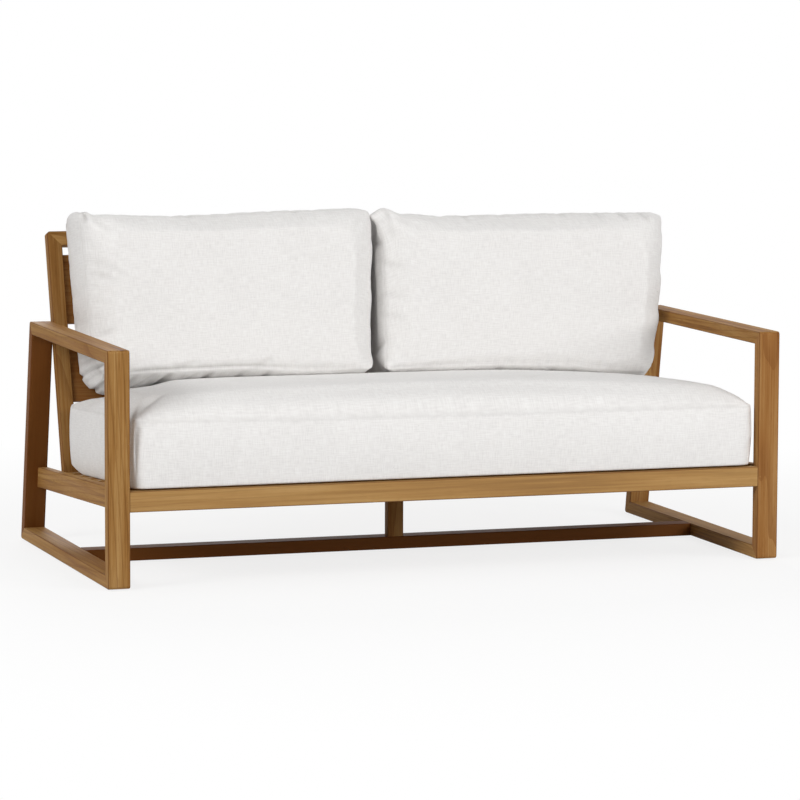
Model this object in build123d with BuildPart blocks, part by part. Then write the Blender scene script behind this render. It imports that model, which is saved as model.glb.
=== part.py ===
"""Two-seat patio sofa of oiled teak: two mitred side loops, a pitched slatted seat,
a leaning back of wide boards, and three loose cushions.

Lengths are in millimetres and angles in degrees. X runs along the sofa, -Y is its
front and Z is up. The origin is on the floor, under the middle of the sofa.
"""

import os
from math import atan2, cos, degrees, radians, sin, sqrt, tan

from build123d import *

os.makedirs("parts", exist_ok=True)

# Overall sizes
overall_width = 1830
overall_depth = 952
arm_height = 608
rear_leg_run = 117

# Board stock of the side loops and the stretcher
board_width = 58
board_thickness = 34
corner_round = 8
arris_round = 3

# Joints in the wood
tenon_fit = 0.2
tenon_end_gap = 1
tenon_shoulder = 9
tenon_thickness = 10
stub_length = 12
tenon_length = 28
loose_tenon_width = 26
loose_tenon_thickness = 8
loose_tenon_length = 30
loose_tenon_setback = 22

# Glides under the sled rails
glide_height = 3
glide_radius = 20
glide_stem_radius = 4
glide_stem_length = 18
glide_inset = 45
glide_edge_round = 1

# Seat: its plane falls to the rear from this height at the front
seat_height = 255
seat_pitch = radians(3.2)
front_rail_reveal = 5
front_rail_setback = 1.5
front_rail_height = 53
front_rail_thickness = 28
side_rail_height = 55
side_rail_thickness = 26
cleat_width = 22
cleat_height = 24
slat_width = 70
slat_least_gap = 16
slat_thickness = 18
slat_end_gap = 1
slat_round = 2
bearer_width = 34
bearer_height = 34

# Stretcher between the sleds, and the post on it
stretcher_setback = 458
post_width = 44
post_depth = 28

# Leaning back frame, fixed between the loops
back_lean = radians(15.8)
back_rise = 240
back_thickness = 32
back_board_stock = 40
back_corner_round = 9
back_foot_height = 56
back_tenon_width = 14
panel_height = 189
panel_gap = 24
panel_thickness = 12
panel_recess = 10
panel_tongue = 10
panel_round = 2
batten_width = 60
batten_thickness = 10
batten_tongue = 8
batten_screw_share = 0.3

# Fasteners
screw_radius = 2.2
screw_head_radius = 4.4
screw_head_height = 3
screw_length = 34
screw_clearance = 0.1
cleat_screw_length = 40
batten_screw_length = 19
bolt_radius = 4
bolt_head_radius = 6.5
bolt_head_height = 8
bolt_bore_depth = 14
bolt_grip = 20
bolt_clearance = 0.2
upper_bolt_setback = 12
pin_radius = 2
pin_length = 21
pin_edge_distance = 7

# Cushions
cushion_clearance = 0.3
cushion_rest_gap = 2
seat_cushion_end_gap = 7
seat_cushion_front = 3
seat_cushion_rear_gap = 3
seat_boxing = 165
seat_crown = 80
back_cushion_left_gap = 49
back_cushion_right_gap = 5
back_cushion_parting = 4
back_cushion_overtop = 26
right_back_cushion_slump = 20
back_boxing = 150
back_crown = 52
boxing_bulge = 3
cushion_corner = 45
cushion_edge_round = 16
cushion_draw = 8
core_wrap = 26
core_edge_round = 6

# Across the edge of a cushion: height above its flat face, then inset, in edge rounds
edge_profile_shares = ((0, 1), (0.3, 0.3), (1, 0))
# Up its crown: height in crowns, then inset in half widths and half depths
crown_profile_shares = ((0.5, 0.08), (0.82, 0.22), (0.96, 0.42), (1, 0.7))
crown_corner_share = 0.85
crown_draw_share = 0.2

# Places worked out from the sizes above
front = -overall_depth / 2
rear = overall_depth / 2
arm_rear = rear - rear_leg_run
loop_inner = overall_width / 2 - board_width
rake = atan2(rear - arm_rear, arm_height - glide_height)
sled_top = glide_height + board_thickness
front_rail_top = seat_height - front_rail_reveal
front_rail_rear = front + front_rail_setback + front_rail_thickness
side_rail_middle = loop_inner + side_rail_thickness / 2
stretcher_front = front + stretcher_setback
slat_drop = slat_thickness / cos(seat_pitch)
bearer_under = slat_drop + bearer_height
sides = {"left": -1, "right": 1}


def seat_z(y, drop=0):
    """Height at y of a line that lies drop below the seat plane."""
    return seat_height - (y - front) * tan(seat_pitch) - drop


def rear_leg_y(z, inset=0):
    """Where the rear leg's back face, moved forward by inset, stands at height z."""
    return arm_rear + (arm_height - z) * tan(rake) - inset / cos(rake)


def seat_to_leg_y(drop):
    """Where a line drop below the seat plane meets the rear leg's front face."""
    fall = arm_height - seat_height + drop - front * tan(seat_pitch)
    start = arm_rear - board_thickness / cos(rake)
    return (start + fall * tan(rake)) / (1 - tan(seat_pitch) * tan(rake))


def seat_to_back_y(drop):
    """Where a line drop below the seat plane meets the back frame's front face."""
    rise = seat_height - drop + front * tan(seat_pitch) - arm_height
    start = arm_rear - back_thickness / cos(back_lean)
    return (start + rise * tan(back_lean)) / (1 + tan(seat_pitch) * tan(back_lean))


def up_the_back(y, z):
    """Height of a point along the back's lean, counted from the arm's rear top edge."""
    return (y - arm_rear) * sin(back_lean) + (z - arm_height) * cos(back_lean)


def save(builder, label):
    """Name a finished piece and write it."""
    builder.part.label = label
    export_step(builder.part, f"parts/{label}.step")


# The seat plane's own frame has its second axis down the pitch; the back plane's
# has it up the lean, starts at the arm's rear top edge, and faces the front.
seat_plane = Plane(
    origin=(0, front, seat_height),
    x_dir=(1, 0, 0),
    z_dir=(0, sin(seat_pitch), cos(seat_pitch)),
)
back_plane = Plane(
    origin=(0, arm_rear, arm_height),
    x_dir=(1, 0, 0),
    z_dir=(0, -cos(back_lean), sin(back_lean)),
)


def shaped_board(plane, outline, opening, top_only, radius, depth, wedge):
    """One mitred board: its whole frame is shaped and eased, then cut at the mitres."""
    with BuildSketch(plane) as frame_face:
        Polygon(*outline, align=None)
        corners = vertices().group_by(Axis.Y)[-1] if top_only else vertices()
        fillet(corners, radius)
        Polygon(*opening, align=None, mode=Mode.SUBTRACT)
    extrude(frame_face.sketch, amount=depth)
    broad_faces = faces().filter_by(Axis((0, 0, 0), plane.z_dir))
    fillet(broad_faces.edges(), arris_round)
    with BuildSketch(plane) as wedge_face:
        Polygon(*wedge, align=None)
    extrude(wedge_face.sketch, amount=depth, mode=Mode.INTERSECT)


def tenon(plane, width, height, length, extra=0, mode=Mode.ADD):
    """Stub standing on a plane, or with extra all round the mortise that takes it."""
    with BuildSketch(plane) as section:
        Rectangle(width + 2 * extra, height + 2 * extra)
    depth = length + (tenon_end_gap if extra else 0)
    extrude(section.sketch, amount=depth, mode=mode)


def loose_tenon(plane, width, extra=0, mode=Mode.ADD):
    """Round-edged tenon let into both boards of a mitre, or its mortise."""
    with BuildSketch(plane) as section:
        SlotOverall(width + 2 * extra, loose_tenon_thickness + 2 * extra)
    reach = loose_tenon_length / 2 + (tenon_end_gap if extra else 0)
    extrude(section.sketch, amount=reach, both=True, mode=mode)


def bolt_hole(plane, clamped):
    """Stepped hole for a bolt and its plug, right through the clamped board."""
    with Locations(plane):
        CounterBoreHole(
            bolt_radius + bolt_clearance, bolt_head_radius + bolt_clearance, bolt_bore_depth, clamped
        )


def bolt(plane, clamped):
    """Round-headed bolt under its plug, through the clamped board into the next."""
    with BuildSketch(plane.offset(bolt_head_height - bolt_bore_depth)) as head:
        Circle(bolt_head_radius)
    extrude(head.sketch, amount=-bolt_head_height)
    with BuildSketch(plane.offset(-bolt_bore_depth)) as shank:
        Circle(bolt_radius)
    extrude(shank.sketch, amount=bolt_bore_depth - clamped - bolt_grip)


def screw(length):
    """Countersunk screw hanging below the place it is put at, head flush."""
    top = (Align.CENTER, Align.CENTER, Align.MAX)
    Cone(screw_radius, screw_head_radius, screw_head_height, align=top)
    Cylinder(screw_radius, length, align=top)


def screw_hole(through):
    """Countersunk hole for a screw's head and shank."""
    CounterSinkHole(
        screw_radius + screw_clearance,
        screw_head_radius + screw_clearance,
        through,
        2 * degrees(atan2(screw_head_radius - screw_radius, screw_head_height)),
    )


# The side loop, seen from the side: outer and inner corners, from the front foot up
loop_outer = [
    (front, glide_height),
    (front, arm_height),
    (arm_rear, arm_height),
    (rear, glide_height),
]
arm_underside = arm_height - board_thickness
loop_inner_corners = [
    (front + board_thickness, sled_top),
    (front + board_thickness, arm_underside),
    (rear_leg_y(arm_underside, board_thickness), arm_underside),
    (rear_leg_y(sled_top, board_thickness), sled_top),
]
loop_boards = ("front_leg", "arm", "rear_leg", "sled")


def loop_mitre(corner, side):
    """Plane across a loop's mitre, at its middle, set nearer the loop's outer face."""
    y_out, z_out = loop_outer[corner]
    y_in, z_in = loop_inner_corners[corner]
    x = side * (overall_width / 2 - loose_tenon_setback)
    middle = (x, (y_out + y_in) / 2, (z_out + z_in) / 2)
    return Plane(origin=middle, x_dir=(1, 0, 0), z_dir=(0, z_out - z_in, y_in - y_out))


def side_rail_front(side):
    """Shoulder of a side rail against the front leg."""
    y = front + board_thickness
    z = seat_z(y, side_rail_height / 2)
    return Plane(origin=(side * side_rail_middle, y, z), x_dir=(1, 0, 0), z_dir=(0, -1, 0))


def side_rail_rear(side):
    """Shoulder of a side rail against the raked rear leg."""
    y = seat_to_leg_y(side_rail_height / 2)
    z = seat_z(y, side_rail_height / 2)
    return Plane(
        origin=(side * side_rail_middle, y, z),
        x_dir=(1, 0, 0),
        z_dir=(0, cos(rake), sin(rake)),
    )


def front_rail_end(side):
    """Shoulder of the front seat rail against a front leg."""
    y = front + front_rail_setback + front_rail_thickness / 2
    z = front_rail_top - front_rail_height / 2
    return Plane(origin=(side * loop_inner, y, z), x_dir=(0, 1, 0), z_dir=(side, 0, 0))


def stretcher_end(side):
    """Shoulder of the stretcher against a sled rail."""
    y = stretcher_front + board_width / 2
    z = glide_height + board_thickness / 2
    return Plane(origin=(side * loop_inner, y, z), x_dir=(0, 1, 0), z_dir=(side, 0, 0))


side_tenon_height = side_rail_height - 2 * tenon_shoulder
front_tenon_height = front_rail_height - 2 * tenon_shoulder
stretcher_tenon_width = board_width - 2 * tenon_shoulder
pin_x = loop_inner + pin_edge_distance
glide_places = [front + glide_inset, rear - glide_inset]


def in_back(up, proud):
    """Y and Z of a point up the back's lean and proud of its rear face."""
    point = back_plane.from_local_coords(Vector(0, up, proud))
    return point.Y, point.Z


# Heights up the back's lean: its bottom rail's top lies in the seat plane
seat_at_back = seat_to_back_y(0)
bottom_rail_top = up_the_back(seat_at_back, seat_z(seat_at_back))
back_foot = bottom_rail_top - back_foot_height
top_rail_under = back_rise - back_board_stock
panel_front = back_thickness - panel_recess
panel_back = panel_front - panel_thickness
panel_tops = {
    "upper": top_rail_under - panel_gap,
    "lower": top_rail_under - 2 * panel_gap - panel_height,
}
stile_inner = loop_inner - back_board_stock

# The upper bolts go through the stiles, between the boards, into the arms; the lower
# ones through the side rails into the stiles. Each head lies under a wood plug.
lower_bolt_drop = side_rail_height / 2
lower_bolt_y = seat_to_back_y(lower_bolt_drop) + back_thickness / 2 / cos(back_lean)
lower_bolt_up = up_the_back(lower_bolt_y, seat_z(lower_bolt_y, lower_bolt_drop))
lower_bolt = in_back(lower_bolt_up, back_thickness / 2)
upper_bolt = in_back(panel_tops["lower"] + panel_gap / 2, back_thickness - upper_bolt_setback)


def upper_bolt_plane(side, x=stile_inner):
    """Plane across the upper bolt of one side, facing the middle of the sofa."""
    return Plane(origin=(side * x, *upper_bolt), x_dir=(0, 1, 0), z_dir=(-side, 0, 0))


def lower_bolt_plane(side, x=loop_inner + side_rail_thickness):
    """Plane across the lower bolt of one side, facing away from the sofa."""
    return Plane(origin=(side * x, *lower_bolt), x_dir=(0, 1, 0), z_dir=(side, 0, 0))


# Slats in even gaps from the front rail to the back frame, screwed at three places
slat_start = (front_rail_rear - front) / cos(seat_pitch)
slat_room = (seat_to_back_y(slat_drop) - front) / cos(seat_pitch) - slat_start
slat_count = int((slat_room - slat_least_gap) / (slat_width + slat_least_gap))
slat_gap = (slat_room - slat_count * slat_width) / (slat_count + 1)
slat_step = slat_width + slat_gap
slat_length = 2 * (loop_inner - slat_end_gap)
slat_centres = [slat_start + slat_gap + slat_width / 2 + i * slat_step for i in range(slat_count)]
cleat_middle = loop_inner - cleat_width / 2
slat_screw_rows = (-cleat_middle, 0, cleat_middle)
slat_screw_places = [(x, centre) for x in slat_screw_rows for centre in slat_centres]


def cleat_screw_places(side):
    """Planes on a cleat's inner face, between slats, where it is screwed to its rail."""
    x = side * (loop_inner - cleat_width)
    drop = slat_drop + cleat_height / 2
    places = []
    for gap in range(1, slat_count, 2):
        along = slat_centres[gap] - slat_step / 2
        origin = seat_plane.from_local_coords(Vector(x, along, -drop))
        places.append(Plane(origin=origin, x_dir=(0, 1, 0), z_dir=(-side, 0, 0)))
    return places


def under_slats(start, width, height):
    """Strip under the slats, cut to the front rail and to the back frame."""
    under = slat_drop + height
    top_rear = seat_to_back_y(slat_drop)
    bottom_rear = seat_to_back_y(under)
    with BuildSketch(Plane.YZ.offset(start)) as profile:
        Polygon(
            (front_rail_rear, seat_z(front_rail_rear, slat_drop)),
            (top_rear, seat_z(top_rear, slat_drop)),
            (bottom_rear, seat_z(bottom_rear, under)),
            (front_rail_rear, seat_z(front_rail_rear, under)),
            align=None,
        )
    extrude(profile.sketch, amount=width)


def slat_pilots():
    """Pilot holes for the slats' screws, to their full length."""
    with BuildSketch(seat_plane) as pilots:
        with Locations(*slat_screw_places):
            Circle(screw_radius + screw_clearance)
    extrude(pilots.sketch, amount=-screw_length - tenon_end_gap, mode=Mode.SUBTRACT)


# The centre bearer's shoulders against the front rail and the back frame
bearer_middle_drop = slat_drop + bearer_height / 2
bearer_front = Plane(
    origin=(0, front_rail_rear, seat_z(front_rail_rear, bearer_middle_drop)),
    x_dir=(1, 0, 0),
    z_dir=(0, -1, 0),
)
bearer_rear_y = seat_to_back_y(bearer_middle_drop)
bearer_rear = Plane(
    origin=(0, bearer_rear_y, seat_z(bearer_rear_y, bearer_middle_drop)),
    x_dir=(1, 0, 0),
    z_dir=-back_plane.z_dir,
)
bearer_tenon = bearer_height - 2 * tenon_shoulder

# Side loops: four boards each, mitred and held by loose tenons
for name, side in sides.items():
    loop_plane = Plane.YZ.offset(loop_inner if side > 0 else -overall_width / 2)
    for first, board in enumerate(loop_boards):
        second = (first + 1) % len(loop_boards)
        wedge = [
            loop_outer[first],
            loop_outer[second],
            loop_inner_corners[second],
            loop_inner_corners[first],
        ]
        with BuildPart() as loop_board:
            shaped_board(
                loop_plane, loop_outer, loop_inner_corners, False, corner_round, board_width, wedge
            )
            for corner in (first, second):
                loose_tenon(loop_mitre(corner, side), loose_tenon_width, tenon_fit, Mode.SUBTRACT)
            if board == "front_leg":
                tenon(
                    side_rail_front(side), tenon_thickness, side_tenon_height, stub_length,
                    tenon_fit, Mode.SUBTRACT,
                )
                tenon(
                    front_rail_end(side), tenon_thickness, front_tenon_height, tenon_length,
                    tenon_fit, Mode.SUBTRACT,
                )
                pin_z = front_rail_top - front_rail_height / 2
                with Locations(Plane(origin=(side * pin_x, front, pin_z), z_dir=(0, -1, 0))):
                    Hole(pin_radius + screw_clearance, pin_length + tenon_end_gap)
            if board == "rear_leg":
                tenon(
                    side_rail_rear(side), tenon_thickness, side_tenon_height, stub_length,
                    tenon_fit, Mode.SUBTRACT,
                )
            if board == "arm":
                with Locations(upper_bolt_plane(side, loop_inner)):
                    Hole(bolt_radius + bolt_clearance, bolt_grip + tenon_end_gap)
            if board == "sled":
                tenon(
                    stretcher_end(side), stretcher_tenon_width, tenon_thickness, tenon_length,
                    tenon_fit, Mode.SUBTRACT,
                )
                for y in glide_places:
                    x = side * (loop_inner + board_width / 2)
                    with Locations(Plane(origin=(x, y, glide_height), z_dir=(0, 0, -1))):
                        Hole(glide_stem_radius + tenon_fit, glide_stem_length + tenon_end_gap)
        save(loop_board, f"{name}_{board}")

# Side seat rails, pitched with the seat and tenoned into both legs
for name, side in sides.items():
    rail_face = Plane.YZ.offset(loop_inner if side > 0 else -loop_inner - side_rail_thickness)
    front_y = front + board_thickness
    top_rear = seat_to_leg_y(0)
    bottom_rear = seat_to_leg_y(side_rail_height)
    with BuildPart() as seat_rail:
        with BuildSketch(rail_face):
            Polygon(
                (front_y, seat_z(front_y)),
                (top_rear, seat_z(top_rear)),
                (bottom_rear, seat_z(bottom_rear, side_rail_height)),
                (front_y, seat_z(front_y, side_rail_height)),
                align=None,
            )
        extrude(amount=side_rail_thickness)
        pitched = Axis((0, 0, 0), (0, cos(seat_pitch), -sin(seat_pitch)))
        fillet(edges().filter_by(pitched), slat_round)
        tenon(side_rail_front(side), tenon_thickness, side_tenon_height, stub_length)
        tenon(side_rail_rear(side), tenon_thickness, side_tenon_height, stub_length)
        bolt_hole(lower_bolt_plane(side), side_rail_thickness)
        with Locations(*cleat_screw_places(side)):
            Hole(screw_radius + screw_clearance, cleat_screw_length + tenon_end_gap)
    save(seat_rail, f"{name}_seat_rail")

# Front seat rail, planed to the pitch on top and tenoned into the front legs
with BuildPart() as front_seat_rail:
    with BuildSketch(Plane.YZ.offset(-loop_inner)):
        with Locations((front_rail_rear - front_rail_thickness / 2, front_rail_top - front_rail_height / 2)):
            Rectangle(front_rail_thickness, front_rail_height)
    extrude(amount=2 * loop_inner)
    fillet(edges().filter_by(Axis.X), arris_round)
    for side in sides.values():
        tenon(front_rail_end(side), tenon_thickness, front_tenon_height, tenon_length)
        pin_z = front_rail_top - front_rail_height / 2
        with Locations(Plane(origin=(side * pin_x, front, pin_z), z_dir=(0, -1, 0))):
            Hole(pin_radius + screw_clearance, pin_length + tenon_end_gap)
    tenon(bearer_front, tenon_thickness, bearer_tenon, stub_length, tenon_fit, Mode.SUBTRACT)
save(front_seat_rail, "front_seat_rail")

# Pins that lock the front rail's tenons in the legs
with BuildPart() as tenon_pins:
    for side in sides.values():
        pin_start = Plane(
            origin=(side * pin_x, front + pin_length, front_rail_top - front_rail_height / 2),
            z_dir=(0, -1, 0),
        )
        with BuildSketch(pin_start):
            Circle(pin_radius)
        extrude(amount=pin_length)
save(tenon_pins, "tenon_pins")

# Stretcher on the flat between the sled rails, and the post that carries the seat's middle
post_middle = stretcher_front + post_depth / 2
post_foot = Plane(origin=(0, post_middle, sled_top), z_dir=(0, 0, -1))
post_head = Plane(
    origin=(0, post_middle, seat_z(post_middle, bearer_under)), x_dir=(1, 0, 0), z_dir=seat_plane.z_dir
)
post_tenon = post_depth - 2 * tenon_shoulder

with BuildPart() as floor_stretcher:
    with BuildSketch(Plane.YZ.offset(-loop_inner)):
        with Locations((stretcher_front + board_width / 2, glide_height + board_thickness / 2)):
            Rectangle(board_width, board_thickness)
    extrude(amount=2 * loop_inner)
    fillet(edges().filter_by(Axis.X), arris_round)
    for side in sides.values():
        tenon(stretcher_end(side), stretcher_tenon_width, tenon_thickness, tenon_length)
    tenon(post_foot, tenon_thickness, post_tenon, stub_length, tenon_fit, Mode.SUBTRACT)
save(floor_stretcher, "floor_stretcher")

with BuildPart() as centre_post:
    post_back = stretcher_front + post_depth
    with BuildSketch(Plane.YZ.offset(-post_width / 2)):
        Polygon(
            (stretcher_front, sled_top),
            (post_back, sled_top),
            (post_back, seat_z(post_back, bearer_under)),
            (stretcher_front, seat_z(stretcher_front, bearer_under)),
            align=None,
        )
    extrude(amount=post_width)
    fillet(edges().filter_by(Axis.Z), slat_round)
    tenon(post_foot, tenon_thickness, post_tenon, stub_length)
    tenon(post_head, tenon_thickness, post_tenon, stub_length)
save(centre_post, "centre_post")

# Centre bearer under the slats
with BuildPart() as centre_bearer:
    under_slats(-bearer_width / 2, bearer_width, bearer_height)
    tenon(bearer_front, tenon_thickness, bearer_tenon, stub_length)
    tenon(bearer_rear, tenon_thickness, bearer_tenon, stub_length)
    tenon(post_head, tenon_thickness, post_tenon, stub_length, tenon_fit, Mode.SUBTRACT)
    slat_pilots()
save(centre_bearer, "centre_bearer")

# Cleats that carry the slats' ends, screwed to the side rails
for name, side in sides.items():
    with BuildPart() as slat_cleat:
        under_slats(loop_inner - cleat_width if side > 0 else -loop_inner, cleat_width, cleat_height)
        slat_pilots()
        with Locations(*cleat_screw_places(side)):
            screw_hole(cleat_width)
    save(slat_cleat, f"{name}_slat_cleat")

with BuildPart() as cleat_screws:
    with Locations(*cleat_screw_places(-1), *cleat_screw_places(1)):
        screw(cleat_screw_length)
save(cleat_screws, "cleat_screws")

# Seat slats across the pitch
for number, centre in enumerate(slat_centres, start=1):
    with BuildPart(seat_plane) as seat_slat:
        with BuildSketch(seat_plane):
            with Locations((0, centre)):
                Rectangle(slat_length, slat_width)
        extrude(amount=-slat_thickness)
        fillet(edges().filter_by(Axis.X), slat_round)
        with Locations(*[(x, centre) for x in slat_screw_rows]):
            screw_hole(slat_thickness)
    save(seat_slat, f"seat_slat_{number}")

with BuildPart(seat_plane) as slat_screws:
    with Locations(*slat_screw_places):
        screw(screw_length)
save(slat_screws, "slat_screws")

# Back frame: two stiles mitred to a top rail, a tenoned bottom rail, two housed boards
back_outline = [
    (-loop_inner, back_foot),
    (-loop_inner, back_rise),
    (loop_inner, back_rise),
    (loop_inner, back_foot),
]
back_opening = [
    (-stile_inner, back_foot),
    (-stile_inner, top_rail_under),
    (stile_inner, top_rail_under),
    (stile_inner, back_foot),
]
bottom_rail_middle = bottom_rail_top - back_board_stock / 2
bottom_tenon_height = back_board_stock - 2 * tenon_shoulder
back_up = back_plane.y_dir


def back_mitre(side):
    """Plane across a top corner's mitre, at its middle."""
    middle = Vector(side * (loop_inner - back_board_stock / 2), back_rise - back_board_stock / 2, 0)
    origin = back_plane.from_local_coords(middle) + back_plane.z_dir * back_thickness / 2
    across = Vector(side, 0, 0)
    return Plane(origin=origin, x_dir=across + back_up, z_dir=across - back_up)


def bottom_rail_end(side):
    """Shoulder of the bottom rail against a stile."""
    y, z = in_back(bottom_rail_middle, back_thickness / 2)
    return Plane(origin=(side * stile_inner, y, z), x_dir=back_plane.z_dir, z_dir=(side, 0, 0))


def back_board(top, fit=0, end=0, mode=Mode.ADD):
    """A back board with its housed ends, or with a fit the housings that take it."""
    with BuildSketch(back_plane.offset(panel_back - fit)) as face:
        with Locations((0, top - panel_height / 2)):
            Rectangle(2 * (stile_inner + panel_tongue + end), panel_height + 2 * fit)
    extrude(face.sketch, amount=panel_thickness + 2 * fit, mode=mode)


def back_batten(fit=0, end=0, mode=Mode.ADD):
    """The batten behind the boards, or with a fit the notches that take its ends."""
    top = top_rail_under + batten_tongue + end
    bottom = bottom_rail_top - batten_tongue - end
    with BuildSketch(back_plane) as face:
        with Locations((0, (top + bottom) / 2)):
            Rectangle(batten_width + 2 * fit, top - bottom)
    extrude(face.sketch, amount=batten_thickness + fit, mode=mode)


# The batten's screws go in from behind, two into each board
batten_screw_places = []
for top in panel_tops.values():
    for share in (-batten_screw_share, batten_screw_share):
        place = in_back(top - panel_height / 2 + share * panel_height, 0)
        batten_screw_places.append(Plane(origin=(0, *place), x_dir=(1, 0, 0), z_dir=-back_plane.z_dir))

for name, side in sides.items():
    wedge = [(side * x, up) for x, up in (
        (loop_inner, back_foot),
        (loop_inner, back_rise),
        (stile_inner, top_rail_under),
        (stile_inner, back_foot),
    )]
    with BuildPart() as back_stile:
        shaped_board(
            back_plane, back_outline, back_opening, True, back_corner_round, back_thickness, wedge
        )
        loose_tenon(back_mitre(side), back_tenon_width, tenon_fit, Mode.SUBTRACT)
        for top in panel_tops.values():
            back_board(top, tenon_fit, tenon_end_gap, Mode.SUBTRACT)
        tenon(
            bottom_rail_end(side), tenon_thickness, bottom_tenon_height, stub_length,
            tenon_fit, Mode.SUBTRACT,
        )
        bolt_hole(upper_bolt_plane(side), back_board_stock)
        with Locations(lower_bolt_plane(side, loop_inner)):
            Hole(bolt_radius + bolt_clearance, bolt_grip + tenon_end_gap)
    save(back_stile, f"{name}_back_stile")

with BuildPart() as back_top_rail:
    top_wedge = [
        (-loop_inner, back_rise),
        (loop_inner, back_rise),
        (stile_inner, top_rail_under),
        (-stile_inner, top_rail_under),
    ]
    shaped_board(
        back_plane, back_outline, back_opening, True, back_corner_round, back_thickness, top_wedge
    )
    for side in sides.values():
        loose_tenon(back_mitre(side), back_tenon_width, tenon_fit, Mode.SUBTRACT)
    back_batten(tenon_fit, tenon_end_gap, Mode.SUBTRACT)
save(back_top_rail, "back_top_rail")

with BuildPart() as back_bottom_rail:
    with BuildSketch(back_plane):
        with Locations((0, bottom_rail_middle)):
            Rectangle(2 * stile_inner, back_board_stock)
    extrude(amount=back_thickness)
    fillet(edges().filter_by(Axis.X), arris_round)
    for side in sides.values():
        tenon(bottom_rail_end(side), tenon_thickness, bottom_tenon_height, stub_length)
    back_batten(tenon_fit, tenon_end_gap, Mode.SUBTRACT)
    tenon(bearer_rear, tenon_thickness, bearer_tenon, stub_length, tenon_fit, Mode.SUBTRACT)
save(back_bottom_rail, "back_bottom_rail")

for name, top in panel_tops.items():
    with BuildPart() as board:
        back_board(top)
        fillet(edges().filter_by(Axis.X), panel_round)
        with Locations(*batten_screw_places):
            Hole(screw_radius + screw_clearance, batten_screw_length + tenon_end_gap)
    save(board, f"back_board_{name}")

with BuildPart() as back_centre_batten:
    back_batten()
    with Locations(*batten_screw_places):
        screw_hole(batten_thickness)
save(back_centre_batten, "back_centre_batten")

with BuildPart() as batten_screws:
    with Locations(*batten_screw_places):
        screw(batten_screw_length)
save(batten_screws, "batten_screws")

# Bolts that hold the back frame between the loops, and the plugs over their heads
bolt_places = []
for side in sides.values():
    bolt_places.append((upper_bolt_plane(side), back_board_stock))
    bolt_places.append((lower_bolt_plane(side), side_rail_thickness))

with BuildPart() as back_frame_bolts:
    for plane, clamped in bolt_places:
        bolt(plane, clamped)
save(back_frame_bolts, "back_frame_bolts")

with BuildPart() as bolt_plugs:
    for plane, clamped in bolt_places:
        with BuildSketch(plane) as plug:
            Circle(bolt_head_radius)
        extrude(plug.sketch, amount=bolt_head_height - bolt_bore_depth)
save(bolt_plugs, "bolt_plugs")

# Loose tenons across every mitre
with BuildPart() as mitre_tenons:
    for side in sides.values():
        for corner in range(len(loop_outer)):
            loose_tenon(loop_mitre(corner, side), loose_tenon_width)
        loose_tenon(back_mitre(side), back_tenon_width)
save(mitre_tenons, "mitre_tenons")

# Glides under the sled rails, each with a stem pressed into the wood
with BuildPart() as foot_glides:
    glide_centres = [
        (side * (loop_inner + board_width / 2), y) for side in sides.values() for y in glide_places
    ]
    with BuildSketch():
        with Locations(*glide_centres):
            Circle(glide_radius)
    extrude(amount=glide_height)
    chamfer(edges().group_by(Axis.Z)[0], glide_edge_round)
    with BuildSketch(Plane.XY.offset(glide_height)):
        with Locations(*glide_centres):
            Circle(glide_stem_radius)
    extrude(amount=glide_stem_length)
save(foot_glides, "foot_glides")


def cushion_section(plane, centre, half_width, half_depth, corner, draw):
    """Outline with round corners and its four sides drawn in at their middles."""
    x, y = centre
    run_x = half_width - corner
    run_y = half_depth - corner
    bow = corner * (1 - sqrt(1 / 2))
    with BuildSketch(plane) as section:
        with BuildLine():
            for turn in (-1, 1):
                ThreePointArc(
                    (x - turn * run_x, y + turn * half_depth),
                    (x, y + turn * (half_depth - draw)),
                    (x + turn * run_x, y + turn * half_depth),
                )
                ThreePointArc(
                    (x + turn * run_x, y + turn * half_depth),
                    (x + turn * (half_width - bow), y + turn * (half_depth - bow)),
                    (x + turn * half_width, y + turn * run_y),
                )
                ThreePointArc(
                    (x + turn * half_width, y + turn * run_y),
                    (x + turn * (half_width - draw), y),
                    (x + turn * half_width, y - turn * run_y),
                )
                ThreePointArc(
                    (x + turn * half_width, y - turn * run_y),
                    (x + turn * (half_width - bow), y - turn * (half_depth - bow)),
                    (x + turn * run_x, y - turn * half_depth),
                )
        make_face()
    return section.sketch.face()


def cushion_levels(boxing, crown):
    """Height, inset and crown share of each section, from the flat face to the crown."""
    levels = []
    for up, inset in edge_profile_shares:
        levels.append((up * cushion_edge_round, boxing_bulge + inset * cushion_edge_round, 0, 0))
    levels.append((boxing / 2, 0, 0, 0))
    for up, inset in reversed(edge_profile_shares):
        height = boxing - up * cushion_edge_round
        levels.append((height, boxing_bulge + inset * cushion_edge_round, 0, 0))
    edge_inset = boxing_bulge + cushion_edge_round
    for up, inset in crown_profile_shares:
        levels.append((boxing + up * crown, edge_inset, inset, up))
    return levels


def cushion(plane, centre, width, depth, boxing, crown):
    """Boxed cushion on a plane: flat below, sides drawn in, crowned above."""
    sections = []
    for height, inset, crown_inset, share in cushion_levels(boxing, crown):
        half_width = (width / 2 - inset) * (1 - crown_inset)
        half_depth = (depth / 2 - inset) * (1 - crown_inset)
        corner = (1 - share) * cushion_corner + share * crown_corner_share * half_depth
        draw = cushion_draw * (1 - share * (1 - crown_draw_share))
        sections.append(
            cushion_section(plane.offset(height), centre, half_width, half_depth, corner, draw)
        )
    loft(sections=sections, ruled=True)


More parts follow.
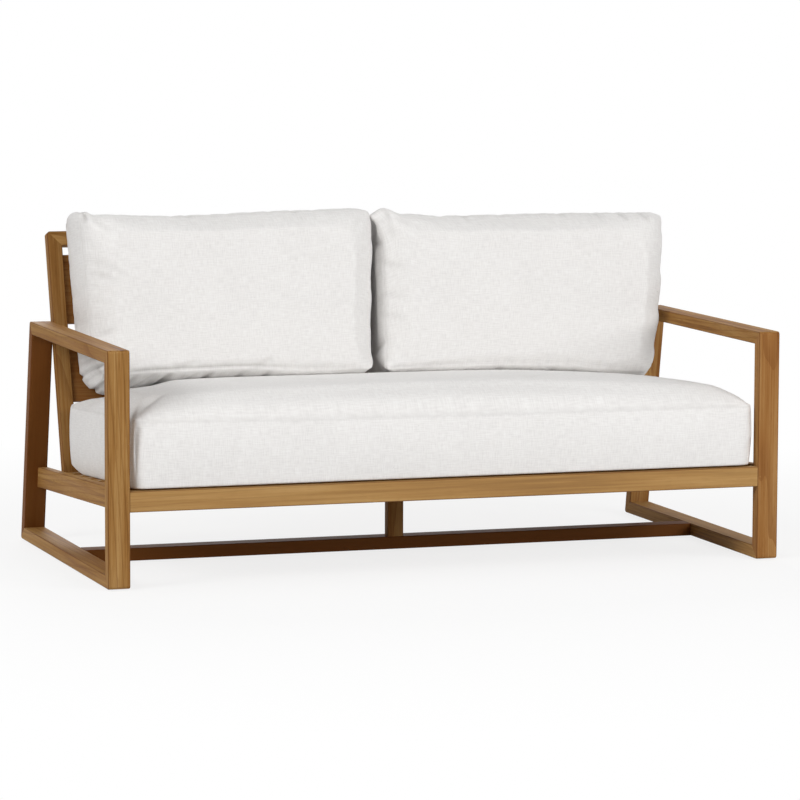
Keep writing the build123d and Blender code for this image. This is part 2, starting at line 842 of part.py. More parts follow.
def foam_core(plane, centre, width, depth, boxing, fit=0, mode=Mode.ADD):
    """Foam block inside the cushion's wadding, or with a fit its cavity."""
    core_height = boxing - core_wrap - cushion_edge_round
    with BuildSketch(plane.offset(core_wrap - fit)) as block:
        with Locations(centre):
            Rectangle(width - 2 * (core_wrap - fit), depth - 2 * (core_wrap - fit))
    extrude(block.sketch, amount=core_height + 2 * fit, mode=mode)


def save_cushion(name, core_name, *sizes):
    """Write one cushion and its foam core."""
    with BuildPart() as cover:
        cushion(*sizes)
        foam_core(*sizes[:-1], cushion_clearance, Mode.SUBTRACT)
    save(cover, name)
    with BuildPart() as core:
        foam_core(*sizes[:-1])
        fillet(edges(), core_edge_round)
    save(core, core_name)


# Seat cushion on the slats, short of the loops and the back frame
seat_bed = seat_plane.offset(cushion_clearance)
seat_cushion_width = 2 * (loop_inner - seat_cushion_end_gap)
seat_cushion_rear = (seat_to_back_y(0) - seat_cushion_rear_gap - front) / cos(seat_pitch)
seat_cushion_depth = seat_cushion_rear - seat_cushion_front
seat_cushion_middle = (0, (seat_cushion_front + seat_cushion_rear) / 2)
save_cushion(
    "seat_cushion", "seat_foam_core",
    seat_bed, seat_cushion_middle, seat_cushion_width, seat_cushion_depth, seat_boxing, seat_crown,
)

# Back cushions lean on the back frame and stand on the seat cushion's crown
back_bed = back_plane.offset(back_thickness + cushion_clearance)
crown_heights = []
for height, inset, crown_inset, share in cushion_levels(seat_boxing, seat_crown):
    half_depth = (seat_cushion_depth / 2 - inset) * (1 - crown_inset)
    point = seat_bed.from_local_coords(Vector(0, seat_cushion_middle[1] + half_depth, height))
    crown_heights.append(up_the_back(point.Y, point.Z))
back_cushion_foot = max(crown_heights) + cushion_rest_gap
back_cushion_height = back_rise + back_cushion_overtop - back_cushion_foot
back_cushion_heights = {
    "left": back_cushion_height,
    "right": back_cushion_height - right_back_cushion_slump,
}
back_cushion_gaps = back_cushion_left_gap + back_cushion_parting + back_cushion_right_gap
back_cushion_width = loop_inner - back_cushion_gaps / 2
back_cushion_joint = (back_cushion_left_gap - back_cushion_right_gap) / 2
for name, side in sides.items():
    centre_x = back_cushion_joint + side * (back_cushion_width + back_cushion_parting) / 2
    height = back_cushion_heights[name]
    save_cushion(
        f"{name}_back_cushion", f"{name}_back_core",
        back_bed, (centre_x, back_cushion_foot + height / 2),
        back_cushion_width, height, back_boxing, back_crown,
    )
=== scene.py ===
"""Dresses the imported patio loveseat: oiled teak, woven cushions and their seams.

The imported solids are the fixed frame. Every operator below finishes some of them or
makes the soft pieces that stand in their place. Lengths are in metres.
"""

import math

import bmesh
import bpy
import numpy as np
from mathutils import Euler, Matrix, Vector


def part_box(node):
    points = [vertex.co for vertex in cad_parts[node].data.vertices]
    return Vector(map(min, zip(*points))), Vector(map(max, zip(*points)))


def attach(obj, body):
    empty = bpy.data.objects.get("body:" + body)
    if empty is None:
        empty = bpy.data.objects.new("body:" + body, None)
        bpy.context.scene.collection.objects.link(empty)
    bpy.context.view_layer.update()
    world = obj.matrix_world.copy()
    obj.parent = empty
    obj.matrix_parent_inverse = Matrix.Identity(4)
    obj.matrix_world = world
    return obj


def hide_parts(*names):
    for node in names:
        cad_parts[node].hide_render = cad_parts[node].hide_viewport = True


bl_info = {
    "name": "Patio Loveseat Finish",
    "version": (1, 1, 0),
    "blender": (4, 5, 0),
    "location": "View3D > Sidebar > Loveseat",
    "description": "Finishes the timber and makes the cushions of a teak patio loveseat",
    "category": "Object",
}

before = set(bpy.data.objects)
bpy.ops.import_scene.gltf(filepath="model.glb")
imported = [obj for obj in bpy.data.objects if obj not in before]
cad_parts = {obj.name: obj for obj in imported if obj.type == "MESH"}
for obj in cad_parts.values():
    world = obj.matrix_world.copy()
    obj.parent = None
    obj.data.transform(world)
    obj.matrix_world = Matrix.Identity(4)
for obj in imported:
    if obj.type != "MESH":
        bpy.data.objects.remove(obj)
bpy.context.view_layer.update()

MM = 0.001
SIDES = ("left", "right")
SEAT_PITCH = math.radians(3.2)
BACK_LEAN = math.radians(15.8)

# Directions that boards lie in
ALONG_SOFA = (1, 0, 0)
FORE_AND_AFT = (0, 1, 0)
UPRIGHT = (0, 0, 1)
DOWN_THE_PITCH = (0, math.cos(SEAT_PITCH), -math.sin(SEAT_PITCH))
UP_THE_LEAN = (0, math.sin(BACK_LEAN), math.cos(BACK_LEAN))

# Sockets of a Mix node that mixes colours
FACTOR, FIRST, SECOND, MIXED = 0, 6, 7, 2


def linear(hex_colour):
    """Turn an sRGB hex colour into linear red, green, blue and alpha."""
    channels = [int(hex_colour[i : i + 2], 16) / 255 for i in (1, 3, 5)]
    curve = [c / 12.92 if c <= 0.04045 else ((c + 0.055) / 1.055) ** 2.4 for c in channels]
    return (*curve, 1.0)


def between(first, second, share):
    """A colour part of the way from one to another."""
    return tuple(a + (b - a) * share for a, b in zip(first, second))


def add_node(tree, kind, inputs=None, stops=(), **settings):
    """Add a node, set its settings and its ramp's stops, and set or link its inputs."""
    node = tree.nodes.new(kind)
    for name, value in settings.items():
        setattr(node, name, value)
    for number, (place, colour) in enumerate(stops):
        elements = node.color_ramp.elements
        stop = elements[number] if number < 2 else elements.new(place)
        stop.position = place
        stop.color = colour
    for socket, value in (inputs or {}).items():
        if isinstance(value, bpy.types.NodeSocket):
            tree.links.new(value, node.inputs[socket])
        else:
            node.inputs[socket].default_value = value
    return node


def new_material(name):
    """An empty node material with its shader and output joined."""
    material = bpy.data.materials.new(name)
    material.use_nodes = True
    tree = material.node_tree
    tree.nodes.clear()
    shader = add_node(tree, "ShaderNodeBsdfPrincipled")
    add_node(tree, "ShaderNodeOutputMaterial", {"Surface": shader.outputs["BSDF"]})
    return material, tree, shader


def sized_noise(tree, vector, size, detail, place=(0, 0, 0), turn=(0, 0, 0), distortion=0.0):
    """Noise with features of a real size, in metres, along each direction."""
    space = add_node(
        tree,
        "ShaderNodeMapping",
        {"Vector": vector, "Location": place, "Rotation": turn, "Scale": size},
        vector_type="TEXTURE",
    )
    noise = add_node(
        tree,
        "ShaderNodeTexNoise",
        {"Vector": space.outputs[0], "Scale": 1.0, "Detail": detail, "Distortion": distortion},
    )
    return noise.outputs["Fac"]


def shown_rays(tree):
    """1 for what the camera, a reflection or a clear material shows, 0 for light thrown back."""
    rays = add_node(tree, "ShaderNodeLightPath").outputs
    shown = rays["Is Camera Ray"]
    for other in ("Is Glossy Ray", "Is Transmission Ray"):
        shown = add_node(tree, "ShaderNodeMath", {0: shown, 1: rays[other]}, operation="MAXIMUM").outputs[0]
    return shown


def board_turn(grain, width):
    """The turn that takes X along a board's grain, Y over its width and Z through it."""
    length = Vector(grain).normalized()
    width = Vector(width).normalized()
    return Matrix((length, width, length.cross(width))).transposed().to_euler()


def oiled_teak(name, lay, number, props, tone=0.0, red=0.0):
    """Teak, planed, sanded and oiled. The eye gets a golden brown with a low satin
    sheen, streaks along the grain, a few wandering growth lines, short dark pores, and
    a darker, redder line of painted shade along the rounded arrises."""
    material, tree, shader = new_material(f"oiled_teak_{name}")
    turn = board_turn(*lay)
    place = add_node(tree, "ShaderNodeTexCoord")
    wood = place.outputs["Object"]
    # Each board is sawn from its own part of the log, 60 to 110 mm from the pith
    picks = np.random.default_rng(number)
    round_the_log, from_pith = picks.uniform(0, 2 * math.pi), picks.uniform(0.06, 0.11)
    along = picks.uniform(-1, 1)
    offset = Vector((along, from_pith * math.cos(round_the_log), from_pith * math.sin(round_the_log)))
    low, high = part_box(name)
    pith = (low + high) / 2 + turn.to_matrix() @ offset
    # The log tapers, so its rings leave a sawn face at a few degrees, in long arches
    taper = Euler((0, picks.uniform(-0.05, 0.05), picks.uniform(-0.05, 0.05))).to_matrix()
    ring_turn = (turn.to_matrix() @ taper).to_euler()
    # A negative tone leans the palette to the dark colour: painted shade on boards that lie in shade, the
    # board's own tone elsewhere
    palette = [
        between(between(colour, props.dark if tone < 0 else props.pale, abs(tone)), props.red, red)
        for colour in (props.dark, props.middle, props.light, props.pale)
    ]
    # Streaks run 260 mm along the grain and are 5 mm wide, with bands 700 by 45 mm
    # under them
    streaks = sized_noise(tree, wood, (260 * MM, 5 * MM, 5 * MM), 3.0, pith, turn)
    bands = sized_noise(tree, wood, (700 * MM, 45 * MM, 45 * MM), 2.0, pith, turn, distortion=0.6)
    body = add_node(tree, "ShaderNodeMix", {0: 0.55, 2: streaks, 3: bands}, data_type="FLOAT")
    golden = add_node(
        tree,
        "ShaderNodeValToRGB",
        {"Fac": body.outputs[0]},
        stops=tuple(zip((0.30, 0.45, 0.56, 0.72), palette)),
    )
    # Growth rings, a ring's width apart. One turn of the Wave node's sine is 2 pi / 20
    # of a unit, and its sway comes out at about 40 % of what it is given
    ring_place = add_node(
        tree,
        "ShaderNodeMapping",
        {"Vector": wood, "Location": pith, "Rotation": ring_turn,
         "Scale": (8 * props.ring_width, props.ring_width, props.ring_width)},
        vector_type="TEXTURE",
    )
    rings = add_node(
        tree,
        "ShaderNodeTexWave",
        {"Vector": ring_place.outputs[0], "Scale": 2 * math.pi / 20, "Detail": 2.0,
         "Detail Scale": 0.4, "Distortion": 2 * math.pi * 2.5 * props.ring_sway / props.ring_width},
        wave_type="RINGS",
        rings_direction="X",
        wave_profile="SAW",
    )
    # Latewood is the last 30 % of each ring: it darkens slowly and ends sharply
    latewood = add_node(
        tree,
        "ShaderNodeMapRange",
        {"Value": rings.outputs["Fac"], "From Min": 0.7, "From Max": 1.0, "To Min": 0.0,
         "To Max": props.ring_contrast},
        interpolation_type="SMOOTHSTEP",
    )
    lined = add_node(
        tree,
        "ShaderNodeMix",
        {FACTOR: latewood.outputs[0], FIRST: golden.outputs["Color"], SECOND: palette[0]},
        data_type="RGBA",
    )
    # Pores are 0.3 mm wide on the real board: drawn 1.2 mm wide so that they show
    pores = sized_noise(tree, wood, (34 * MM, 1.2 * MM, 1.2 * MM), 1.0, pith, turn)
    pore_depth = add_node(
        tree,
        "ShaderNodeMapRange",
        {"Value": pores, "From Min": 0.30, "From Max": 0.42, "To Min": 0.35, "To Max": 0.0},
    )
    pored = add_node(
        tree,
        "ShaderNodeMix",
        {FACTOR: pore_depth.outputs[0], FIRST: lined.outputs[MIXED], SECOND: palette[0]},
        data_type="RGBA",
    )
    # On a rounded arris the surface faces neither over the width nor through the board:
    # there the colour darkens and reddens, painted shade of the rounding
    facing = add_node(
        tree,
        "ShaderNodeVectorRotate",
        {"Vector": place.outputs["Normal"], "Rotation": turn},
        rotation_type="EULER_XYZ",
        invert=True,
    )
    either_way = add_node(tree, "ShaderNodeVectorMath", {0: facing.outputs[0]}, operation="ABSOLUTE")
    parts = add_node(tree, "ShaderNodeSeparateXYZ", {0: either_way.outputs[0]})
    turned = add_node(
        tree, "ShaderNodeMath", {0: parts.outputs["Y"], 1: parts.outputs["Z"]}, operation="MINIMUM"
    )
    arris_shade = add_node(
        tree,
        "ShaderNodeMapRange",
        {"Value": turned.outputs[0], "From Min": 0.18, "From Max": 0.5, "To Min": 0.0,
         "To Max": props.arris_shade_depth},
    )
    coloured = add_node(
        tree,
        "ShaderNodeMix",
        {FACTOR: arris_shade.outputs[0], FIRST: pored.outputs[MIXED], SECOND: props.arris_shade},
        data_type="RGBA",
    )
    rough = add_node(
        tree,
        "ShaderNodeMapRange",
        {"Value": streaks, "From Min": 0.3, "From Max": 0.7, "To Min": 0.54, "To Max": 0.7},
    )
    # Sanding leaves the pores about 0.3 mm deep to the touch
    bump = add_node(tree, "ShaderNodeBump", {"Height": pores, "Strength": 0.3, "Distance": 0.3 * MM})
    tree.links.new(coloured.outputs[MIXED], shader.inputs["Base Color"])
    tree.links.new(rough.outputs[0], shader.inputs["Roughness"])
    tree.links.new(bump.outputs[0], shader.inputs["Normal"])
    shader.inputs["IOR"].default_value = 1.45
    shader.inputs["Specular IOR Level"].default_value = 0.14
    return material


def woven_olefin(name, props):
    """Outdoor cloth of spun off-white yarn in a plain weave. The eye gets a matt cloth
    with slubs along both thread directions, a soft fuzz at its edges and seams that
    lie a little in shade."""
    material, tree, shader = new_material(name)
    threads = add_node(tree, "ShaderNodeUVMap", uv_map="threads").outputs[0]
    # Real yarns lie about 0.9 mm apart: drawn at 2.6 mm so that they show, with slubs
    # ten times as long
    warp = sized_noise(tree, threads, (2.6 * MM, 26 * MM, 1.0), 3.0)
    weft = sized_noise(tree, threads, (30 * MM, 2.6 * MM, 1.0), 3.0)
    yarns = add_node(tree, "ShaderNodeMix", {0: 0.5, 2: warp, 3: weft}, data_type="FLOAT").outputs[0]
    # The cloth takes up light a little unevenly, over about 150 mm
    patches = sized_noise(tree, threads, (150 * MM, 150 * MM, 1.0), 2.0)
    shade = add_node(tree, "ShaderNodeMix", {0: 0.12, 2: yarns, 3: patches}, data_type="FLOAT")
    cloth = add_node(
        tree,
        "ShaderNodeValToRGB",
        {"Fac": shade.outputs[0]},
        stops=((0.36, props.shade), (0.5, props.middle), (0.64, props.light)),
    )
    # Here and there a darker nep, 5 mm wide, is spun into the yarn
    neps = sized_noise(tree, threads, (5 * MM, 5 * MM, 1.0), 0.0)
    nep = add_node(
        tree,
        "ShaderNodeMapRange",
        {"Value": neps, "From Min": 0.075, "From Max": 0.095, "To Min": 0.35, "To Max": 0.0},
    )
    specked = add_node(
        tree,
        "ShaderNodeMix",
        {FACTOR: nep.outputs[0], FIRST: cloth.outputs["Color"], SECOND: props.seam},
        data_type="RGBA",
    )
    # The mesh keeps how much painted shade each point gets, in a seam or a fold
    seam = add_node(tree, "ShaderNodeAttribute", attribute_name="seam")
    shaded = add_node(tree, "ShaderNodeMath", {0: seam.outputs["Fac"], 1: 0.5}, operation="MULTIPLY")
    coloured = add_node(
        tree,
        "ShaderNodeMix",
        {FACTOR: shaded.outputs[0], FIRST: specked.outputs[MIXED], SECOND: props.seam},
        data_type="RGBA",
    )
    bump = add_node(tree, "ShaderNodeBump", {"Height": yarns, "Strength": 0.3, "Distance": 0.9 * MM})
    tree.links.new(coloured.outputs[MIXED], shader.inputs["Base Color"])
    tree.links.new(bump.outputs[0], shader.inputs["Normal"])
    shader.inputs["Roughness"].default_value = 0.92
    shader.inputs["Specular IOR Level"].default_value = 0.25
    shader.inputs["Sheen Weight"].default_value = 0.15
    shader.inputs["Sheen Roughness"].default_value = 0.5
    return material


def tumbled_steel(props):
    """Stainless steel screws, turned and tumbled: the eye gets a grey metal with a
    blurred shine and faint marks."""
    material, tree, shader = new_material("tumbled_stainless_steel")
    place = add_node(tree, "ShaderNodeTexCoord").outputs["Object"]
    # Tumbling marks are about 1 mm across
    marks = sized_noise(tree, place, (1 * MM, 1 * MM, 1 * MM), 2.0)
    shine = add_node(
        tree,
        "ShaderNodeValToRGB",
        {"Fac": marks},
        stops=((0.3, props.steel_dark), (0.7, props.steel_light)),
    )
    tree.links.new(shine.outputs["Color"], shader.inputs["Base Color"])
    shader.inputs["Metallic"].default_value = 1.0
    shader.inputs["Roughness"].default_value = 0.34
    return material


def moulded_polyethylene(props):
    """Glides moulded in black polyethylene: the eye gets a dark, matt skin with a fine
    moulded grain."""
    material, tree, shader = new_material("moulded_black_polyethylene")
    place = add_node(tree, "ShaderNodeTexCoord").outputs["Object"]
    # The mould's spark grain is about 0.8 mm across
    grain = sized_noise(tree, place, (0.8 * MM, 0.8 * MM, 0.8 * MM), 2.0)
    skin = add_node(
        tree,
        "ShaderNodeValToRGB",
        {"Fac": grain},
        stops=((0.3, props.glide_dark), (0.7, props.glide_light)),
    )
    bump = add_node(tree, "ShaderNodeBump", {"Height": grain, "Strength": 0.2, "Distance": 0.1 * MM})
    tree.links.new(skin.outputs["Color"], shader.inputs["Base Color"])
    tree.links.new(bump.outputs[0], shader.inputs["Normal"])
    shader.inputs["IOR"].default_value = 1.51
    shader.inputs["Roughness"].default_value = 0.6
    return material


# What every colour property shares
COLOUR = {"subtype": "COLOR", "size": 4, "min": 0, "max": 1}


class LoveseatTimber(bpy.types.PropertyGroup):
    """Colours and grain of the oiled teak."""

    dark: bpy.props.FloatVectorProperty(
        name="Dark", description="Latewood and pores", default=linear("#663B12"), **COLOUR
    )
    middle: bpy.props.FloatVectorProperty(
        name="Middle", description="Main tone", default=linear("#956A36"), **COLOUR
    )
    light: bpy.props.FloatVectorProperty(
        name="Light", description="Earlywood", default=linear("#A67E49"), **COLOUR
    )
    pale: bpy.props.FloatVectorProperty(
        name="Pale", description="Palest streaks", default=linear("#B8935F"), **COLOUR
    )
    red: bpy.props.FloatVectorProperty(
        name="Red", description="Ruddy boards lean to this", default=linear("#84471D"), **COLOUR
    )
    # Painted shade: the colour that the rounded arrises darken to
    arris_shade: bpy.props.FloatVectorProperty(
        name="Arris", description="Oil standing on the edges", default=linear("#56290F"), **COLOUR
    )
    arris_shade_depth: bpy.props.FloatProperty(
        name="Arris depth", description="How much darker the edges are", subtype="FACTOR",
        default=0.6, min=0, max=1,
    )
    ring_width: bpy.props.FloatProperty(
        name="Ring width", description="Spacing of the growth rings that show",
        default=0.016, unit="LENGTH",
    )
    ring_sway: bpy.props.FloatProperty(
        name="Ring sway", description="How far the rings wander", default=0.01, unit="LENGTH"
    )
    ring_contrast: bpy.props.FloatProperty(
        name="Ring contrast", description="How dark the latewood is", subtype="FACTOR",
        default=0.4, min=0, max=1,
    )


class LoveseatSmallParts(bpy.types.PropertyGroup):
    """Colours of fasteners and glides."""

    steel_dark: bpy.props.FloatVectorProperty(
        name="Steel, dark", description="Marks", default=linear("#8E9092"), **COLOUR
    )
    steel_light: bpy.props.FloatVectorProperty(
        name="Steel, light", description="Shine", default=linear("#C4C6C8"), **COLOUR
    )
    glide_dark: bpy.props.FloatVectorProperty(
        name="Glide, dark", description="Pits", default=linear("#141414"), **COLOUR
    )
    glide_light: bpy.props.FloatVectorProperty(
        name="Glide, light", description="Skin", default=linear("#242424"), **COLOUR
    )


class LoveseatCloth(bpy.types.PropertyGroup):
    """Colours of the cushion cloth."""

    shade: bpy.props.FloatVectorProperty(
        name="Shade", description="Between yarns", default=linear("#DDDBD9"), **COLOUR
    )
    middle: bpy.props.FloatVectorProperty(
        name="Middle", description="Main tone", default=linear("#E6E4E2"), **COLOUR
    )
    light: bpy.props.FloatVectorProperty(
        name="Light", description="Crowns of yarns", default=linear("#EDECEA"), **COLOUR
    )
    # Colour of the dark neps, and of the painted shade in seams and folds
    seam: bpy.props.FloatVectorProperty(
        name="Seam", description="In the seams", default=linear("#6E6860"), **COLOUR
    )


class LoveseatCushions(bpy.types.PropertyGroup):
    """Forms of the three cushions."""

    seat_spacing: bpy.props.FloatProperty(
        name="Seat mesh", description="Size of the seat cloth's mesh", default=0.013, unit="LENGTH"
    )
    back_spacing: bpy.props.FloatProperty(
        name="Back mesh", description="Size of a back cloth's mesh", default=0.011, unit="LENGTH"
    )
    corner: bpy.props.FloatProperty(
        name="Corner radius", description="In plan", default=0.042, unit="LENGTH"
    )
    drawn: bpy.props.FloatProperty(
        name="Drawn in", description="How far the sides pull in between corners",
        default=0.008, unit="LENGTH",
    )
    seat_bulge: bpy.props.FloatProperty(
        name="Seat bulge", description="How far the seat's boxing swells", default=0.003, unit="LENGTH"
    )
    back_bulge: bpy.props.FloatProperty(
        name="Back bulge", description="How far a back's boxing swells", default=0.008, unit="LENGTH"
    )
    outreach: bpy.props.FloatProperty(
        name="Outreach", description="Most that cloth may stand past its solid",
        default=0.022, unit="LENGTH",
    )
    seat_boxing: bpy.props.FloatProperty(
        name="Seat boxing", description="Height of the seat's side strip", default=0.157, unit="LENGTH"
    )
    back_boxing: bpy.props.FloatProperty(
        name="Back boxing", description="Depth of a back cushion's side strip",
        default=0.150, unit="LENGTH",
    )
    seam_depth: bpy.props.FloatProperty(
        name="Seam depth", description="How deep the seams sink", default=0.001, unit="LENGTH"
    )
    pressure: bpy.props.FloatProperty(
        name="Pressure", description="Of the filling, as the cloth solver counts it", default=4.0, min=0
    )
    seat_cap: bpy.props.FloatProperty(
        name="Seat cap", description="Most that the seat's cloth may move", default=0.010, unit="LENGTH"
    )
    back_cap: bpy.props.FloatProperty(
        name="Back cap", description="Most that a back's cloth may move", default=0.022, unit="LENGTH"
    )


class LoveseatStage(bpy.types.PropertyGroup):
    """Floor, lights and camera."""

    floor: bpy.props.FloatVectorProperty(
        name="Floor", description="Pale floor as it is seen", default=linear("#F4F4F4"), **COLOUR
    )
    bounce: bpy.props.FloatVectorProperty(
        name="Bounce", description="Floor as it throws light back", default=linear("#DEDEDE"), **COLOUR
    )
    high_power: bpy.props.FloatProperty(
        name="High", description="Small lamp, high on the left", default=95.0, unit="POWER"
    )
    left_power: bpy.props.FloatProperty(
        name="Left", description="Lamp that lights the left side", default=258.0, unit="POWER"
    )
    right_power: bpy.props.FloatProperty(
        name="Right", description="Main lamp, wide, front right", default=302.0, unit="POWER"
    )
    front_power: bpy.props.FloatProperty(
        name="Front", description="Weak lamp, in front", default=100.0, unit="POWER"
    )
    rear_power: bpy.props.FloatProperty(
        name="Rear", description="Lamp behind, for the rear side", default=190.0, unit="POWER"
    )
    sky: bpy.props.FloatProperty(
        name="Sky", description="Strength of the light from overhead", default=0.45, min=0
    )
    lens: bpy.props.FloatProperty(
        name="Lens", description="Focal length", default=186.81, unit="CAMERA"
    )


def finish_node(name, material):
    """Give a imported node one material."""
    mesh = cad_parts[name].data
    mesh.materials.clear()
    mesh.materials.append(material)
    for polygon in mesh.polygons:
        polygon.material_index = 0


def bed_directions(along):
    """A cushion's own directions: across the sofa, along its bed, and out of the bed."""
    across, along = Vector(ALONG_SOFA), Vector(along)
    return Matrix((across, along, across.cross(along))).transposed()


def extent(node, bed):
    """Lowest and highest corner of a node along a bed's directions."""
    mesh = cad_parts[node].data
    places = mesh_places(mesh) @ np.array(bed)
    return places.min(0), places.max(0)


def mesh_places(mesh):
    """Vertex places of a mesh as an array."""
    places = np.empty(len(mesh.vertices) * 3)
    mesh.vertices.foreach_get("co", places)
    return places.reshape(-1, 3)


def mesh_normals(mesh):
    """Vertex normals of a mesh as an array."""
    normals = np.empty(len(mesh.vertices) * 3)
    mesh.vertex_normals.foreach_get("vector", normals)
    return normals.reshape(-1, 3)


def mesh_values(mesh, name):
    """One number per vertex, kept in the mesh under a name."""
    values = np.empty(len(mesh.vertices))
    mesh.attributes[name].data.foreach_get("value", values)
    return values


def ruled(length, spacing, hem):
    """Places along a panel: even, with one close to each end for the seam."""
    count = max(4, round(length / spacing))
    even = np.linspace(0.0, length, count + 1)
    return np.concatenate(([0.0, hem], even[1:-1], [length - hem, length]))


def boxed_shell(size, spacing, hem):
    """A closed box of quads: its grid places and the last on each line, its places in
    metres, its faces and their thread coordinates."""
    lines = [ruled(length, spacing, hem) for length in size]
    last = [len(line) - 1 for line in lines]
    numbers = {}
    places = []

    def corner(key):
        if key not in numbers:
            numbers[key] = len(places)
            places.append(key)
        return numbers[key]

    faces, threads = [], []
    width, depth, _ = size

    def thread(key, panel):
        x, y, z = (lines[a][key[a]] for a in range(3))
        if panel in ("top", "bottom"):
            return x, y
        # The boxing is one strip, counted from the lower left corner round by the right
        run = {
            "front": x, "right": width + y,
            "rear": 2 * width + depth - x, "left": 2 * (width + depth) - y,
        }[panel]
        return run, z + depth

    panels = (
        ("bottom", 2, 0, (1, 0)), ("top", 2, last[2], (0, 1)),
        ("front", 1, 0, (0, 2)), ("rear", 1, last[1], (2, 0)),
        ("left", 0, 0, (2, 1)), ("right", 0, last[0], (1, 2)),
    )
    for panel, fixed, level, (first, second) in panels:
        for a in range(last[first]):
            for b in range(last[second]):
                keys = []
                for da, db in ((0, 0), (1, 0), (1, 1), (0, 1)):
                    key = [0, 0, 0]
                    key[fixed] = level
                    key[first] = a + da
                    key[second] = b + db
                    keys.append(tuple(key))
                faces.append([corner(key) for key in keys])
                threads.append([thread(key, panel) for key in keys])
    grid = np.array(places)
    flat = np.stack([lines[a][grid[:, a]] for a in range(3)], 1)
    return grid, np.array(last), flat, faces, threads


def rounded(away, reach):
    """Steep at an edge, where it is 0, and level from a reach inwards, where it is 1."""
    return np.sqrt(1 - (1 - np.clip(away / reach, 0, 1)) ** 3)


def edge_curve(*stations):
    """A smooth curve through (place, millimetres) pairs, flat at each, in metres."""
    places, values = zip(*stations)
    values = np.array(values) * MM

    def curve(at):
        at = np.clip(at, places[0], places[-1])
        part = np.clip(np.searchsorted(places, at, side="right") - 1, 0, len(places) - 2)
        start, stop = np.take(places, part), np.take(places, part + 1)
        share = (at - start) / (stop - start)
        smooth = share * share * (3 - 2 * share)
        return np.take(values, part) * (1 - smooth) + np.take(values, part + 1) * smooth

    return curve


# The curve of an edge that stays where the box has it
STRAIGHT = edge_curve((-1, 0), (1, 0))


def cushion_form(size, boxing, shape, spacing):
    """Shape a boxed shell: each edge on its own curve, round corners, swollen boxing
    and a crown. Edge curves tell how far an edge lies inside the box, along it from -1
    to 1. Radii are pairs, at the bed and at the front seam, from the lower left corner
    round by the right. Rims and domes are reaches from the left, right, lower and upper
    edges."""
    width, depth, height = size
    grid, last, flat, faces, threads = boxed_shell((width, depth, boxing), spacing, hem=3 * MM)
    half_x, half_y = width / 2, depth / 2
    x = flat[:, 0] - half_x
    y = flat[:, 1] - half_y
    z = flat[:, 2].copy()
    edge_x = (grid[:, 0] == 0) | (grid[:, 0] == last[0])
    edge_y = (grid[:, 1] == 0) | (grid[:, 1] == last[1])
    top = grid[:, 2] == last[2]
    bottom = grid[:, 2] == 0
    # Square corners become round ones
    up = z / boxing
    radii = [at_bed + (at_front - at_bed) * up for at_bed, at_front in shape["radii"]]
    radius = np.where(y < 0, np.where(x < 0, radii[0], radii[1]), np.where(x > 0, radii[2], radii[3]))
    over_x = np.sign(x) * np.maximum(np.abs(x) - (half_x - radius), 0)
    over_y = np.sign(y) * np.maximum(np.abs(y) - (half_y - radius), 0)
    reach = np.hypot(over_x, over_y)
    longest = np.maximum(np.abs(over_x), np.abs(over_y))
    scale = np.divide(longest, reach, out=np.ones_like(reach), where=reach > 0)
    x = x - over_x + over_x * scale
    y = y - over_y + over_y * scale
    # The boxing swells between its seams, or is pinched where two cushions meet
    middle = np.sin(np.pi * up)
    u, v = x / half_x, y / half_y
    swell = shape["swell"] * (1 - middle)
    left = shape["left"](v) + swell + shape.get("pinch_left", 0.0) * middle
    right = shape["right"](v) + swell + shape.get("pinch_right", 0.0) * middle
    low = shape["low"](u) + swell
    high = shape["high"](u) + swell
    share_x, share_y = (u + 1) / 2, (v + 1) / 2
    x = -half_x + left + (width - left - right) * share_x
    y = -half_y + low + (depth - low - high) * share_y
    # Under the weight the lower boxing slopes up from where it rests to its front seam
    roll = shape["roll"](u)
    turn = np.clip((up - 0.2) / 0.8, 0, 1) ** 1.5
    under = edge_y & (share_y < 0.5)
    y += np.where(under, roll * turn, np.where(top, roll * np.clip(1 - share_y * 5, 0, 1) ** 2, 0))
    # The seam's height wanders, a free corner lifts off the bed, and the crown stands
    # on the seam: a rounded rim, then a low dome
    lift = shape["lift"](u, v)
    z += lift * up + shape["foot"](u, v) * (1 - up)
    inwards = ((1 + u) * half_x, (1 - u) * half_x, (1 + v) * half_y, (1 - v) * half_y)
    rim = np.prod([rounded(away, reach) for away, reach in zip(inwards, shape["rims"])], 0)
    dome = np.prod([rounded(away, reach) for away, reach in zip(inwards, shape["domes"])], 0)
    rise = shape["rim_share"] * rim + (1 - shape["rim_share"]) * dome
    z += np.where(top, (height - boxing - lift) * rise * shape["fill"](u, v), 0)
    marks = {
        "seam": ((bottom | top) & (edge_x | edge_y)).astype(float),
        "height": up,
        "across": share_x,
        "upward": share_y,
        "under": under.astype(float),
    }
    return np.stack([x, y, z], 1), faces, threads, marks


def furrow(away, half_width):
    """Depth across a fold: 1 in its middle, with cloth that stands up a little beside it."""
    spread = (away / half_width) ** 2
    return (1 - 0.55 * spread) * np.exp(-0.8 * spread)


def fold_depth(places, height, lines):
    """Depth of the folds at each point. A line runs from one place on the cushion's face
    to another, with a half width and a depth, in millimetres, and the share of the
    boxing's depth that it runs on to. It fades at its ends."""
    depth = np.zeros(len(places))
    for start, stop, half_width, deep, reach in lines:
        start, stop = np.array(start) * MM, np.array(stop) * MM
        run = stop - start
        along = np.clip((places[:, :2] - start) @ run / (run @ run), 0, 1)
        away = np.linalg.norm(places[:, :2] - (start + along[:, None] * run), axis=1)
        fade = np.sin(np.pi * (0.08 + 0.84 * along))
        carried = np.clip((height - 1 + reach) * 5, 0, 1)
        depth += deep * MM * fade * carried * furrow(away, half_width * MM)
    return depth


